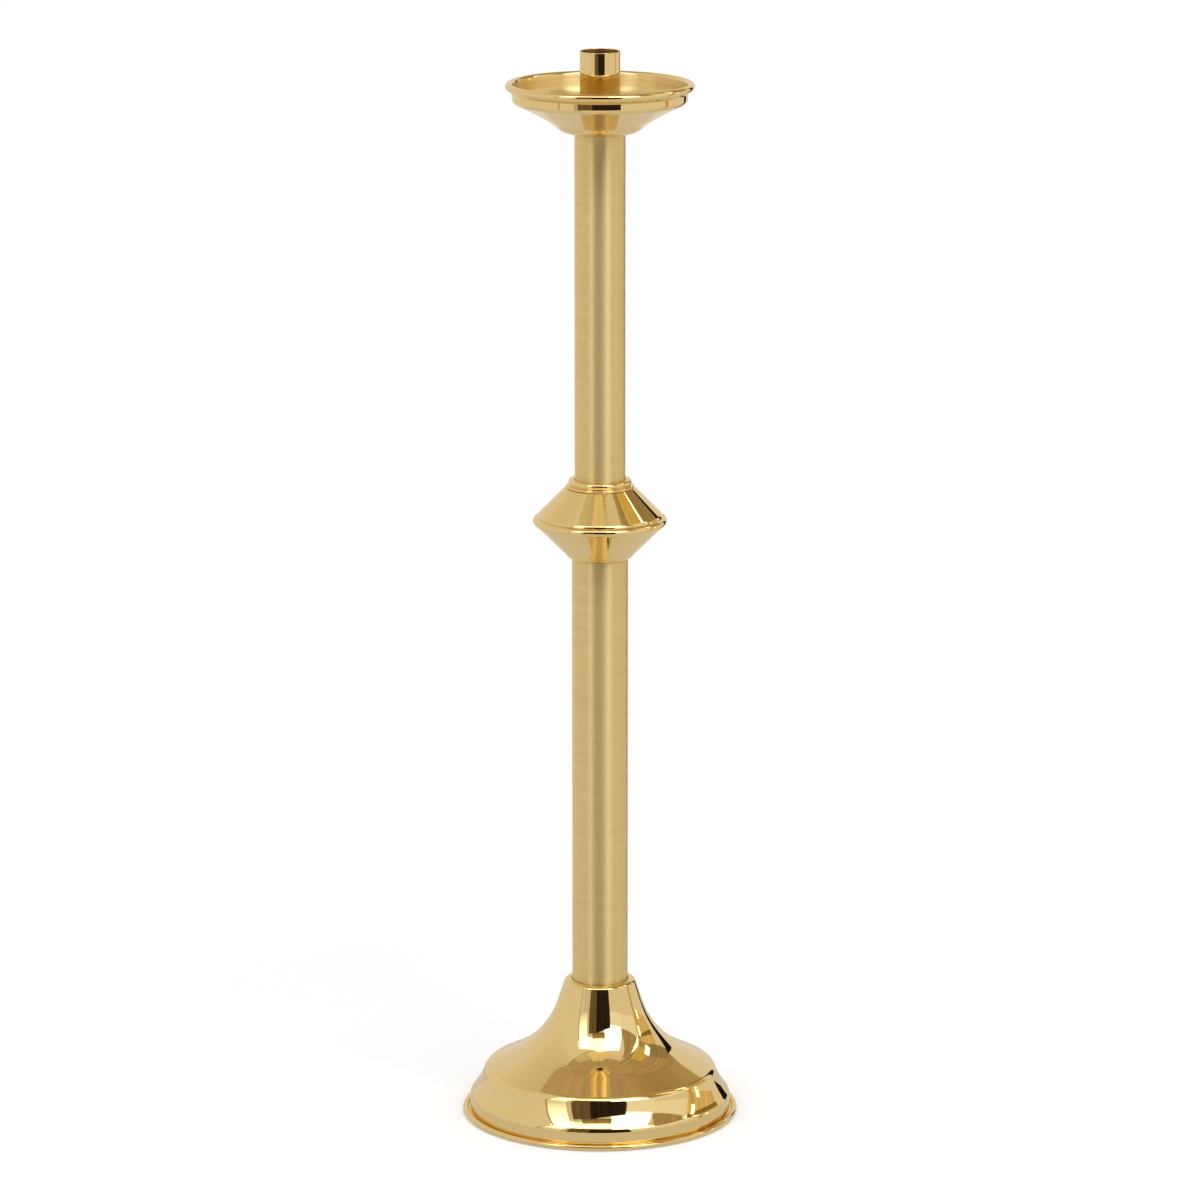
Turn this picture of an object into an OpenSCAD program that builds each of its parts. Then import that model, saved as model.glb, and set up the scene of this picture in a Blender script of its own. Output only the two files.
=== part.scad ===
// Processional torch standing in its floor stand. Two brass tubes, a spun node
// between them, a drip pan and a candle socket are drawn together on one rod.
// The foot of the lower tube stands loose in the sleeve of a weighted, spun base.
// Millimetres, +Z up, origin on the floor at the middle of the stand.

/* [Stand shell] */
// Diameter over the rolled foot
foot_d = 281; // [250:1:320]
// Thickness of the rolled bead round the foot
foot_bead_d = 5.4; // [4.4:0.1:6.6]
// Width of the channel between the bead and the band
foot_channel = 1.8; // [1.4:0.1:3.6]
// Height of the rolled bead above the floor
foot_lift = 0.6; // [0.4:0.1:2]
// Height of the upright band
band_h = 12; // [10:0.2:15]
// Radius of the ovolo above the band
ovolo_r = 9; // [7:0.5:12]
// Width from the band in to the foot of the dome, where the hollow ends
valley_in = 14.6; // [12.6:0.2:17]
// Height of the foot of the dome above the floor
valley_z = 44; // [41:0.2:48]
// Lean of the dome at its foot, in degrees from upright
dome_lean = 20; // [15:1:24]
// Radius of the dome's shoulder
shoulder_r = 10; // [8:0.5:14]
// Lean of the neck, in degrees from upright
neck_lean = 18; // [10:1:22]
// Length of the straight stretch of the neck
neck_straight = 22; // [8:1:28]
// Diameter over the edge of the lip
lip_d = 72.4; // [70:0.2:84]
// Height of the edge of the lip above the floor
lip_z = 138.2; // [124:0.2:150]
// Rise from the edge of the lip to its flat top
lip_rise = 2.8; // [2:0.1:4]
// Thickness of the stand's sheet
stand_sheet = 1.5; // [1:0.1:2]

/* [Weight and sleeve] */
// Thickness of the felt under the weight
felt_t = 3; // [2.4:0.1:5]
// Width of the weight's rim that shows round the felt
felt_inset = 6; // [2:0.5:20]
// Width of the flat rim on top of the weight
weight_rim_w = 14; // [8:1:30]
// Diameter of the hub on top of the weight
hub_d = 92; // [84:1:120]
// Rise of the hub above the rim of the weight
hub_rise = 12; // [6:1:24]
// Wall of the sleeve that holds the staff
sleeve_wall = 2; // [1.5:0.1:3]
// Width of the sleeve's collar that bears on the hub
sleeve_collar_w = 8; // [4:0.5:11]
// Thickness of the sleeve's collar
sleeve_collar_t = 3; // [2:0.2:5]
// Width of the ring nut under the weight
ring_nut_w = 9; // [7:0.5:12]
// Thickness of the ring nut
ring_nut_t = 6; // [4:0.5:7]
// Width of the spanner notches in the ring nut
notch_w = 8; // [5:0.5:12]
// Depth of the spanner notches in the ring nut
notch_d = 3; // [2:0.5:4]
// Thickness of the plug in the bottom of the sleeve
plug_t = 4; // [3:0.5:8]
// Thickness of the leather disc that the staff stands on
seat_t = 3; // [2:0.5:6]

/* [Staff] */
// Diameter of the lower tube
lower_tube_d = 56.5; // [53:0.1:58]
// Length of the lower tube
lower_tube_l = 603; // [400:1:1200]
// Diameter of the upper tube
upper_tube_d = 50.8; // [48:0.1:53]
// Length of the upper tube
upper_tube_l = 391.5; // [250:0.5:800]
// Wall of both tubes
tube_wall = 1.6; // [1.2:0.1:2.4]
// Diameter of the tie rod
rod_d = 10; // [8:1:12]
// Length of the plug in the foot of the staff
foot_plug_l = 32; // [28:1:60]
// Depth of the nut recess in the foot plug
foot_recess = 18; // [16:0.5:22]
// Length of the plug in the top of the staff
cap_l = 16; // [10:1:40]

/* [Node] */
// Diameter over the nose of the node
node_d = 135; // [126:0.2:150]
// Height of the node's seam above the end of the lower tube
seam_rise = 10; // [8:0.2:14]
// Radius of the rolled nose
nose_r = 4.2; // [3.8:0.1:5.6]
// Width of the shell's step under the nose
nose_step = 0.3; // [0.2:0.1:0.8]
// Set-back of the upper shell from the nose, at the seam
seam_setback = 4.3; // [4.2:0.1:6]
// Radius of the upper shell's swell above the seam
swell_r = 5.5; // [4:0.5:10]
// Lean of the swell at the seam, in degrees from upright
swell_lean = 8; // [4:1:16]
// Height from the seam to the top of the upper shell
node_upper_h = 29.8; // [26:0.2:40]
// Height from the seam down to the foot ring
node_lower_h = 37.6; // [30:0.2:46]
// Thickness of the node's sheet
node_sheet = 1.2; // [0.8:0.1:1.4]
// Width of the hem where the two shells meet
seam_hem = 6; // [4:0.5:10]
// Width of the foot ring's top round the lower tube
foot_ring_w = 6.7; // [5:0.1:10]
// Width of the foot ring's lower edge round the lower tube
foot_ring_edge = 2.2; // [1:0.1:3]
// Height of the foot ring
foot_ring_h = 4.3; // [3:0.1:7]
// Swell of the foot ring's face, in degrees at each edge
foot_ring_swell = 14; // [5:1:25]
// Width of the upper shell's flat top round the upper tube
node_flat_w = 9.8; // [9.4:0.1:12]
// Width of the collar's step round the upper tube
step_w = 8.8; // [8:0.1:9.4]
// Height of the collar's step
step_h = 2.8; // [2.4:0.1:5]
// Depth that the collar's bead is sunk in the step
bead_sink = 0.4; // [0.2:0.1:0.8]
// Width of the collar's bead round the upper tube
collar_bead_w = 6.3; // [6:0.1:8]
// Thickness of the collar's bead
collar_bead_d = 6.8; // [6.4:0.1:8]
// Width of the core's flange outside the lower tube
core_flange_w = 5; // [3:0.5:10]
// Thickness of the core's flange between the tubes
core_flange_t = 6; // [4:0.5:8]
// Length of the core's spigot in each tube
spigot_l = 25; // [15:1:80]

/* [Pan and socket] */
// Diameter over the rounded rim of the pan
pan_d = 187.8; // [178:0.2:210]
// Diameter of the pan's upright band
pan_band_d = 174.6; // [166:0.2:177]
// Height of the pan's band
pan_band_h = 9.3; // [7:0.1:14]
// Height of the band's lower edge above the pan's foot
pan_band_z = 31; // [27:0.2:38]
// Height of the rim's middle above the top of the band
rim_z = 6.2; // [5.6:0.1:9]
// Radius of the rounded rim
rim_r = 3.8; // [3.4:0.1:4.4]
// Diameter of the pan's flat foot
pan_flat_d = 57; // [54:0.5:60]
// Radius of the bowl round the pan's foot
bowl_r = 21; // [18:0.5:24]
// Turn of the bowl up to its straight edge, in degrees
bowl_turn = 44; // [38:1:46]
// Diameter of the crease between bowl and cone
pan_crease_d = 92.4; // [90:0.2:100]
// Radius of the edge between cone and band
pan_edge_r = 5.5; // [3:0.5:8]
// Width from the band in to the foot of the pan's inner wall
pan_wall_in = 3; // [2.4:0.1:4]
// Thickness of the pan's sheet
pan_sheet = 1.2; // [0.8:0.1:1.6]
// Diameter of the candle hole
candle_d = 38.1; // [34:0.1:44]
// Wall of the candle socket
socket_wall = 1.05; // [0.8:0.05:2]
// Height of the candle socket
socket_h = 80.4; // [60:0.2:120]
// Inward step of the socket's threaded foot, on which the candle stands
socket_step = 0.5; // [0.3:0.1:1]
// Thickness of the socket's base under the washer
socket_base_t = 4; // [3:0.5:8]

/* [Fasteners] */
// Width of the nuts across their flats
nut_af = 17; // [15:0.5:19]
// Thickness of the nuts
nut_t = 8; // [6:0.5:9]
// Diameter of the washers
washer_d = 26; // [22:0.5:28]
// Thickness of the washers
washer_t = 2.5; // [1.6:0.1:3]
// Length of rod that stands out of each nut
rod_end = 2; // [1:0.5:3]
// Clearance round and over the nuts in their recesses
nut_room = 1; // [0.5:0.1:1.5]

/* [Fits] */
// Clearance round the staff in the sleeve
staff_gap = 0.3; // [0.2:0.05:0.6]
// Clearance round the staff at the lip
lip_gap = 0.8; // [0.6:0.05:1.2]
// Clearance of pieces that are slid together and fixed
slip = 0.15; // [0.1:0.05:0.3]
// Clearance of the threads
thread_gap = 0.1; // [0.05:0.05:0.2]
// Clearance of the collar round the upper tube
collar_gap = 0.4; // [0.2:0.05:0.8]

/* [Hidden] */
$fn = 120;

BRASS = "goldenrod";
SATIN = "darkkhaki";
STEEL = "slategray";
IRON = "dimgray";
FELT = "darkgreen";
LEATHER = "sienna";

// Radii shared by the staff and what it fits
lower_r = lower_tube_d / 2;
upper_r = upper_tube_d / 2;
sleeve_in_r = lower_r + staff_gap;
sleeve_r = sleeve_in_r + sleeve_wall;
rod_hole_r = rod_d / 2 + slip;

// Levels and radii of the stand
bead_z = foot_lift + foot_bead_d / 2;
bead_r = foot_d / 2 - foot_bead_d / 2;
flange_z = bead_z + stand_sheet / 2;
band_r = foot_d / 2 - foot_bead_d - foot_channel;
band_top = flange_z + band_h;
band_under = band_top - stand_sheet;
lip_top = lip_z + lip_rise;
lip_hole_r = lower_r + lip_gap;
lip_flat_r = sleeve_r + slip;
weight_r = band_r - stand_sheet - slip;
hub_top = band_under + hub_rise;
ring_nut_r = sleeve_r + ring_nut_w;
recess_r = ring_nut_r + slip + notch_d;
sleeve_bottom = felt_t + slip;
recess_top = sleeve_bottom + ring_nut_t + rod_end;
seat_z = sleeve_bottom + plug_t;

// Levels of the staff, from its foot up
foot_z = seat_z + seat_t;
lower_end = foot_z + lower_tube_l;
upper_start = lower_end + core_flange_t;
pan_z = upper_start + upper_tube_l;
pan_floor = pan_z + pan_sheet;
socket_washer_z = pan_floor + socket_base_t;
foot_washer_z = foot_z + foot_recess - washer_t;
foot_nut_z = foot_washer_z - nut_t;
socket_nut_z = socket_washer_z + washer_t;
rod_start = foot_nut_z - rod_end;
rod_stop = socket_nut_z + nut_t + rod_end;
socket_seat = rod_stop + nut_room;

// Levels and radii of the node
seam_z = lower_end + seam_rise;
node_top = seam_z + node_upper_h;
node_foot = seam_z - node_lower_h;
foot_ring_r = lower_r + foot_ring_w;
seam_r = node_d / 2 - seam_setback;
node_flat_r = upper_r + node_flat_w;
step_r = upper_r + step_w;

// Radii of the candle socket and of the recesses for nuts
socket_r = candle_d / 2 + socket_wall;
socket_foot_r = candle_d / 2 - socket_step;
nut_recess_r = washer_d / 2 + nut_room;

// Angle at which the node's nose starts
nose_start = -65;

// Length by which a cut runs past the face that it opens
cut = 1;

// Unit vector at angle a
function dir(a) = [cos(a), sin(a)];

// Angle of vector v
function heading(v) = atan2(v[1], v[0]);

// Points of an arc about c, ends included, one step for about every 4 degrees
function arc(c, r, a0, a1) =
    let (n = max(2, ceil(abs(a1 - a0) / 4)))
    [for (i = [0:n]) c + r * dir(a0 + (a1 - a0) * i / n)];

// Points of the arc that leaves p at angle a and ends at q, turning left
function arc_between(p, a, q) =
    let (d = q - p, r = d * d / (2 * d * dir(a + 90)), c = p + r * dir(a + 90))
    arc(c, r, a - 90, heading(q - c));

// Points of the left-hand arc of radius r that leaves p at angle a until it points at q
function arc_towards(p, a, r, q) =
    let (c = p + r * dir(a + 90), d = q - c)
    arc(c, r, a - 90, heading(d) - acos(r / norm(d)));

// Points of an S-curve from p to q: a left-hand arc of radius r that leaves p at angle a,
// then the right-hand arc tangent to it that reaches q at angle b
function s_curve(p, a, r, q, b) =
    let (
        c = p + r * dir(a + 90),
        u = dir(b - 90),
        d = q - c,
        s = (d * d - r * r) / (2 * (r - d * u)),
        e = q + s * u,
        turn = heading(e - c)
    )
    concat(arc(c, r, a - 90, turn), arc(e, s, turn + 180, b + 90));

// Right-hand normal of segment i of path p
function side(p, i) = let (d = p[i + 1] - p[i]) [d[1], -d[0]] / norm(d);

// Mitred normal at point i of path p
function mitre(p, i) =
    i == 0 ? side(p, 0) :
    i == len(p) - 1 ? side(p, i - 1) :
    let (s = side(p, i - 1) + side(p, i)) 2 * s / (s * s);

// Path p without points that repeat the one before
function distinct(p) = [for (i = [0:len(p) - 1]) if (i == 0 || norm(p[i] - p[i - 1]) > 0.001) p[i]];

// Points at distance t on the left of path p, from its end back to its start
function skin(p, t) =
    let (q = distinct(p))
    [for (i = [len(q) - 1:-1:0]) q[i] - t * mitre(q, i)];

// Outline of a sheet of thickness t on the left of path p
function sheet(p, t) = concat(distinct(p), skin(p, t));

// Round bar, tube or ring between two levels
module ring(outer_r, inner_r, z0, z1) {
    translate([0, 0, z0])
        difference() {
            cylinder(r = outer_r, h = z1 - z0);
            if (inner_r > 0)
                translate([0, 0, -cut])
                    cylinder(r = inner_r, h = z1 - z0 + 2 * cut);
        }
}

// Hexagon nut with its lower face at z
module hex_nut(z) {
    translate([0, 0, z])
        difference() {
            cylinder(d = nut_af / cos(30), h = nut_t, $fn = 6);
            translate([0, 0, -cut])
                cylinder(r = rod_d / 2 + thread_gap, h = nut_t + 2 * cut);
        }
}

// Spun shell of the stand: rolled foot, band, ovolo and hollow, dome, neck and lip
module base_shell() {
    valley = [band_r - valley_in, valley_z];
    lip = [lip_d / 2, lip_z];
    neck_end = lip - neck_straight * dir(90 + neck_lean);
    lip_round = arc_between(lip, 180 - 2 * atan(lip_rise / (lip[0] - lip_flat_r)), [lip_flat_r, lip_top]);
    path = concat(
        [[bead_r, flange_z], [band_r, flange_z]],
        s_curve([band_r, band_top], 90, ovolo_r, valley, 90 + dome_lean),
        s_curve(valley, 90 + dome_lean, shoulder_r, neck_end, 90 + neck_lean),
        lip_round,
        [[lip_hole_r, lip_top]]
    );
    color(BRASS)
        rotate_extrude() {
            polygon(sheet(path, stand_sheet));
            translate([bead_r, bead_z])
                circle(d = foot_bead_d);
        }
}

// Cast weight inside the shell's band, with a hub for the sleeve
module base_weight() {
    color(IRON)
        rotate_extrude()
            polygon([
                [sleeve_r + slip, recess_top], [recess_r, recess_top],
                [recess_r, felt_t], [weight_r, felt_t],
                [weight_r, band_under], [weight_r - weight_rim_w, band_under],
                [hub_d / 2, hub_top], [sleeve_r + slip, hub_top]
            ]);
}

// Tube that holds the foot of the staff, with a collar that bears on the hub
module staff_sleeve() {
    color(SATIN) {
        ring(sleeve_r, sleeve_in_r, sleeve_bottom, lip_top - stand_sheet);
        ring(sleeve_r + sleeve_collar_w, sleeve_r - sleeve_wall / 2, hub_top, hub_top + sleeve_collar_t);
    }
}

// Plug in the bottom of the sleeve
module sleeve_plug() {
    color(SATIN)
        ring(sleeve_in_r - slip, 0, sleeve_bottom, seat_z);
}

// Ring nut that draws the sleeve down on the weight, with four spanner notches
module sleeve_nut() {
    z = recess_top - ring_nut_t;
    color(STEEL)
        difference() {
            ring(ring_nut_r, sleeve_r + thread_gap, z, recess_top);
            for (a = [0:90:270])
                rotate([0, 0, a])
                    translate([ring_nut_r - notch_d, -notch_w / 2, z - cut])
                        cube([2 * notch_d, notch_w, ring_nut_t + 2 * cut]);
        }
}

// Felt that the stand rests on
module felt_pad() {
    color(FELT)
        ring(weight_r - felt_inset, 0, 0, felt_t);
}

// Loose leather disc that the staff stands on
module seat_disc() {
    color(LEATHER)
        ring(lower_r, 0, seat_z, foot_z);
}

// Lower tube of the staff
module lower_tube() {
    color(SATIN)
        ring(lower_r, lower_r - tube_wall, foot_z, lower_end);
}

// Turned plug in the foot of the staff, recessed for the nut
module foot_plug() {
    color(BRASS)
        difference() {
            ring(lower_r - tube_wall - slip, rod_hole_r, foot_z, foot_z + foot_plug_l);
            ring(nut_recess_r, 0, foot_z - cut, foot_z + foot_recess);
        }
}

// Washer under the foot nut
module foot_washer() {
    color(STEEL)
        ring(washer_d / 2, rod_hole_r, foot_washer_z, foot_washer_z + washer_t);
}

// Nut at the foot of the tie rod
module foot_nut() {
    color(STEEL)
        hex_nut(foot_nut_z);
}

// Rod that draws the staff together
module tie_rod() {
    color(STEEL)
        ring(rod_d / 2, 0, rod_start, rod_stop);
}

// Turned ring round the lower tube that carries the node, swelling up to its top edge
module node_foot_ring() {
    bore_r = lower_r + slip;
    edge = [lower_r + foot_ring_edge, node_foot - foot_ring_h];
    top = [foot_ring_r, node_foot];
    color(BRASS)
        rotate_extrude()
            polygon(concat(
                [[bore_r, edge[1]]],
                arc_between(edge, heading(top - edge) - foot_ring_swell, top),
                [[bore_r, node_foot]]
            ));
}

// Lower half of the node, from the foot ring up to the rolled nose and its hem
module node_lower_shell() {
    nose = [node_d / 2 - nose_r, seam_z - nose_r];
    nose_path = arc(nose, nose_r, nose_start, 90);
    path = concat(
        [[lower_r + slip, node_foot], [foot_ring_r, node_foot]],
        [nose_path[0] - [nose_step, 0]],
        nose_path,
        [[seam_r - seam_hem, seam_z]]
    );
    color(BRASS)
        rotate_extrude()
            polygon(sheet(path, node_sheet));
}

// Upper half of the node, from its hem at the seam up to the flat under the collar
module node_upper_shell() {
    seam = [seam_r, seam_z];
    hem = seam - [seam_hem, 0];
    corner = [node_flat_r, node_top];
    path = concat(
        arc_towards(seam, 90 + swell_lean, swell_r, corner),
        [corner, [upper_r + collar_gap, node_top]]
    );
    color(BRASS)
        rotate_extrude()
            difference() {
                union() {
                    polygon(sheet(path, node_sheet));
                    translate(hem)
                        square([seam_hem - node_sheet, node_sheet]);
                }
                translate(hem - [0, node_sheet])
                    square([seam_hem, node_sheet]);
            }
}

// Turned collar round the upper tube: a step with a rounded edge and a bead on it
module node_collar() {
    bore_r = upper_r + collar_gap;
    bead = [upper_r + collar_bead_w - collar_bead_d / 2, node_top + step_h + collar_bead_d / 2 - bead_sink];
    color(BRASS)
        difference() {
            rotate_extrude() {
                polygon(concat(
                    [[bore_r, node_top]],
                    arc([step_r - step_h / 2, node_top + step_h / 2], step_h / 2, -90, 90),
                    [[bead[0], node_top + step_h], [bead[0], bead[1]], [bore_r, bead[1]]]
                ));
                translate(bead)
                    circle(d = collar_bead_d);
            }
            ring(bore_r, 0, node_top - cut, node_top + step_h + collar_bead_d + cut);
        }
}

// Turned core of the node: a spigot in each tube and a flange between their ends
module node_core() {
    color(BRASS)
        difference() {
            union() {
                ring(lower_r - tube_wall - slip, 0, lower_end - spigot_l, lower_end);
                ring(lower_r + core_flange_w, 0, lower_end, upper_start);
                ring(upper_r - tube_wall - slip, 0, upper_start, upper_start + spigot_l);
            }
            ring(rod_hole_r, 0, lower_end - spigot_l - cut, upper_start + spigot_l + cut);
        }
}

// Upper tube of the staff
module upper_tube() {
    color(SATIN)
        ring(upper_r, upper_r - tube_wall, upper_start, pan_z);
}

// Turned plug in the top of the staff, under the pan
module tube_cap() {
    color(BRASS)
        ring(upper_r - tube_wall - slip, rod_hole_r, pan_z - cap_l, pan_z);
}

// Spun drip pan: flat foot, bowl, cone and band, with a straight inner wall up to a rounded rim
module drip_pan() {
    bowl = arc([pan_flat_d / 2, pan_z + bowl_r], bowl_r, -90, bowl_turn - 90);
    bowl_end = bowl[len(bowl) - 1];
    crease = bowl_end + (pan_crease_d / 2 - bowl_end[0]) * [1, tan(bowl_turn)];
    band_foot = [pan_band_d / 2, pan_z + pan_band_z];
    band_end = band_foot + [0, pan_band_h];
    slope = heading(band_foot - crease);
    edge = band_foot + pan_edge_r * [-1, tan((90 - slope) / 2)];
    floor_end = band_foot - pan_wall_in * [1, tan(slope)];
    floor_skin = skin(concat([[rod_hole_r, pan_z]], bowl, [crease, floor_end]), pan_sheet);
    wall_foot = floor_skin[0];
    rim = [pan_d / 2 - rim_r, band_end[1] + rim_z];
    flare = heading(band_end - rim) + acos(rim_r / norm(rim - band_end));
    rim_end = heading(wall_foot - rim) + 360 - acos(rim_r / norm(rim - wall_foot));
    color(BRASS)
        rotate_extrude()
            polygon(concat(
                [[rod_hole_r, pan_z]],
                bowl,
                [crease],
                arc(edge, pan_edge_r, slope - 90, 0),
                [band_end],
                arc(rim, rim_r, flare, rim_end),
                floor_skin
            ));
}

// Turned base of the candle socket, held to the floor of the pan by the rod's nut
module socket_base() {
    color(BRASS)
        difference() {
            ring(socket_foot_r - thread_gap, rod_hole_r, pan_floor, socket_seat);
            ring(nut_recess_r, 0, socket_washer_z, socket_seat + cut);
        }
}

// Candle socket: a thin tube screwed on its base, with a rounded rim
module candle_socket() {
    rim = [socket_r - socket_wall / 2, pan_floor + socket_h - socket_wall / 2];
    path = concat(
        [[socket_foot_r, pan_floor], [socket_r, pan_floor]],
        arc(rim, socket_wall / 2, 0, 180),
        [[candle_d / 2, socket_seat], [socket_foot_r, socket_seat]]
    );
    color(BRASS)
        rotate_extrude()
            polygon(path);
}

// Washer in the socket's base
module socket_washer() {
    color(STEEL)
        ring(washer_d / 2, rod_hole_r, socket_washer_z, socket_nut_z);
}

// Nut at the top of the tie rod
module socket_nut() {
    color(STEEL)
        hex_nut(socket_nut_z);
}

base_shell();
base_weight();
staff_sleeve();
sleeve_plug();
sleeve_nut();
felt_pad();
seat_disc();
lower_tube();
foot_plug();
foot_washer();
foot_nut();
tie_rod();
node_foot_ring();
node_lower_shell();
node_upper_shell();
node_collar();
node_core();
upper_tube();
tube_cap();
drip_pan();
socket_base();
candle_socket();
socket_washer();
socket_nut();
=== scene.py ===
"""Looks of a brass processional torch that stands loose in its weighted floor stand.

Every turned piece is drawn as a half-section, radius first, and spun about the staff's axis by
one Geometry Nodes tree. Levels and radii come from the frame. The pieces' sizes are in millimetres,
the studio's are in metres, and angles are in degrees.
"""

import logging
import math
from collections.abc import Sequence
from dataclasses import dataclass
from enum import Enum

import bmesh
import bpy
from bpy.types import ID, Material, Node, NodeOutputs, NodeSocket, NodeTree, Object
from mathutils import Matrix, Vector


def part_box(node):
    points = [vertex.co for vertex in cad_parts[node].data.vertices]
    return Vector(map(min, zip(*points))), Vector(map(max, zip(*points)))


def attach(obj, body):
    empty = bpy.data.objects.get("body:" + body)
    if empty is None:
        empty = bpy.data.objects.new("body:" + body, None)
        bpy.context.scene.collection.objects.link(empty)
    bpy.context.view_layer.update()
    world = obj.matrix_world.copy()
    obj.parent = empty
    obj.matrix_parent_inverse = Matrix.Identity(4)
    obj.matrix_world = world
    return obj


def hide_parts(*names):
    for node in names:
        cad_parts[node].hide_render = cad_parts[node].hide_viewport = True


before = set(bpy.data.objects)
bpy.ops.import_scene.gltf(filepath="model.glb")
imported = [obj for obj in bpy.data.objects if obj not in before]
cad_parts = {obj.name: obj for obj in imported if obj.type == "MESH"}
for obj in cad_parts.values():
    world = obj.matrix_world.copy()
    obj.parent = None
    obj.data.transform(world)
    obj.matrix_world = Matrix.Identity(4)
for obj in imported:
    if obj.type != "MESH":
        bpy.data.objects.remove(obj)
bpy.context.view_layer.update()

LOG = logging.getLogger("torch")
MM = 0.001

# Names of the lengths that meshes carry: along a turned section, and up a card.
RUN = "run"
RISE = "rise"

# Columns of a turned piece. Arcs: fewest steps, and the longest in degrees and in millimetres.
SEGMENTS = 224
ARC_STEPS = 3
ARC_STEP = 6.0
ARC_CHORD = 1.1

# Corners: steps of a rounding, the most that counts of a turn, and the share of a side that it takes.
CORNER_STEPS = 6
MOST_TURN = 150.0
CUT_SHARE = 0.48

# Points closer than this are one: in millimetres on a section, in metres on a mesh.
SAME_POINT = 1e-4
WELD = 1e-6

# Angle between faces from which an edge is shaded sharp.
SHARP_DEG = 32.0

# Mesh step of a card in degrees, its painted folds of light and shade for each radian, and the noise that
# they swing between.
CARD_STEP = 2.0
FOLDS = 9.0
FOLD_NOISE = (0.25, 0.75)

Path = list[Vector]


class Body(str, Enum):
    """Bodies that the pieces ride on."""

    STAND = "stand"
    SEAT = "seat"
    TORCH = "torch"


class Slot(str, Enum):
    """Material slots of the record."""

    POLISHED = "polished_brass"
    SATIN = "satin_brass"
    TURNED = "turned_brass"
    STEEL = "steel"
    IRON = "cast_iron"
    FELT = "felt"
    LEATHER = "leather"


def linear(code: str) -> tuple[float, float, float, float]:
    """Turns an sRGB hex colour to linear.

    Args:
        code: Colour as #RRGGBB.

    Returns:
        Linear red, green and blue, and an alpha of 1.
    """
    parts = [int(code[i:i + 2], 16) / 255 for i in (1, 3, 5)]
    r, g, b = [c / 12.92 if c <= 0.04045 else ((c + 0.055) / 1.055) ** 2.4 for c in parts]
    return r, g, b, 1.0


def add(tree: NodeTree, kind: str, inputs: dict[str | int, object] | None = None,
        **settings: object) -> Node:
    """Adds a node to a tree.

    Args:
        tree: Tree that takes the node.
        kind: Blender's name of the node type.
        inputs: Values, or what to link, by input name or number. A node stands for its first output.
        settings: Properties of the node.

    Returns:
        The new node.
    """
    node = tree.nodes.new(kind)
    for name, value in settings.items():
        setattr(node, name, value)
    for key, value in (inputs or {}).items():
        source = value.outputs[0] if isinstance(value, Node) else value
        if isinstance(source, NodeSocket):
            tree.links.new(source, node.inputs[key])
        else:
            node.inputs[key].default_value = source
    return node


def point(r: float, z: float) -> Vector:
    """Gives a point of a half-section."""
    return Vector((r, z))


def unit(angle: float) -> Vector:
    """Gives the unit vector at an angle in degrees."""
    return point(math.cos(math.radians(angle)), math.sin(math.radians(angle)))


def heading(v: Vector) -> float:
    """Gives the angle of a vector in degrees."""
    return math.degrees(math.atan2(v.y, v.x))


def arc(centre: Vector, radius: float, start: float, stop: float) -> Path:
    """Draws an arc, ends included.

    Args:
        centre: Centre of the arc.
        radius: Radius in millimetres.
        start: Angle of the first point in degrees.
        stop: Angle of the last point in degrees.

    Returns:
        Points along the arc.
    """
    turn = abs(stop - start)
    length = radius * math.radians(turn)
    steps = max(ARC_STEPS, math.ceil(turn / ARC_STEP), math.ceil(length / ARC_CHORD))
    return [centre + radius * unit(start + (stop - start) * i / steps) for i in range(steps + 1)]


def arc_between(p: Vector, angle: float, q: Vector) -> Path:
    """Draws the left-hand arc that leaves a point at an angle and ends at another.

    Args:
        p: Start of the arc.
        angle: Heading at the start.
        q: End of the arc.

    Returns:
        Points along the arc.
    """
    d = q - p
    normal = unit(angle + 90)
    radius = d.dot(d) / (2 * d.dot(normal))
    centre = p + radius * normal
    return arc(centre, radius, angle - 90, heading(q - centre))


def arc_towards(p: Vector, angle: float, radius: float, q: Vector) -> Path:
    """Draws the left-hand arc that leaves a point at an angle until it points at another.

    Args:
        p: Start of the arc.
        angle: Heading at the start.
        radius: Radius of the arc.
        q: Point that its end points at.

    Returns:
        Points along the arc.
    """
    centre = p + radius * unit(angle + 90)
    d = q - centre
    return arc(centre, radius, angle - 90, heading(d) - math.degrees(math.acos(radius / d.length)))


def s_curve(p: Vector, angle: float, radius: float, q: Vector, end_angle: float) -> Path:
    """Draws a left-hand arc and the right-hand arc tangent to it.

    Args:
        p: Start of the curve.
        angle: Heading at the start in degrees.
        radius: Radius of the first arc.
        q: End of the curve.
        end_angle: Heading at the end in degrees.

    Returns:
        Points along both arcs.
    """
    centre = p + radius * unit(angle + 90)
    u = unit(end_angle - 90)
    d = q - centre
    second = (d.dot(d) - radius * radius) / (2 * (radius - d.dot(u)))
    far = q + second * u
    turn = heading(far - centre)
    return arc(centre, radius, angle - 90, turn) + arc(far, second, turn + 180, end_angle + 90)


def flared(p: Vector, angle: float, radius: float, slope: float, q: Vector, end_angle: float) -> Path:
    """Draws a left-hand arc, a straight side and a right-hand arc, each tangent to the next.

    Args:
        p: Start of the curve.
        angle: Heading at the start in degrees.
        radius: Radius of the first arc.
        slope: Heading of the straight side in degrees.
        q: End of the curve.
        end_angle: Heading at the end in degrees.

    Returns:
        Points along both arcs; the straight side lies between them.
    """
    first = arc(p + radius * unit(angle + 90), radius, angle - 90, slope - 90)
    side = unit(slope)
    bend = unit(slope - 90) - unit(end_angle - 90)
    d = q - first[-1]
    second = side.cross(d) / side.cross(bend)
    return first + arc(q + second * unit(end_angle - 90), second, slope + 90, end_angle + 90)


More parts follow.
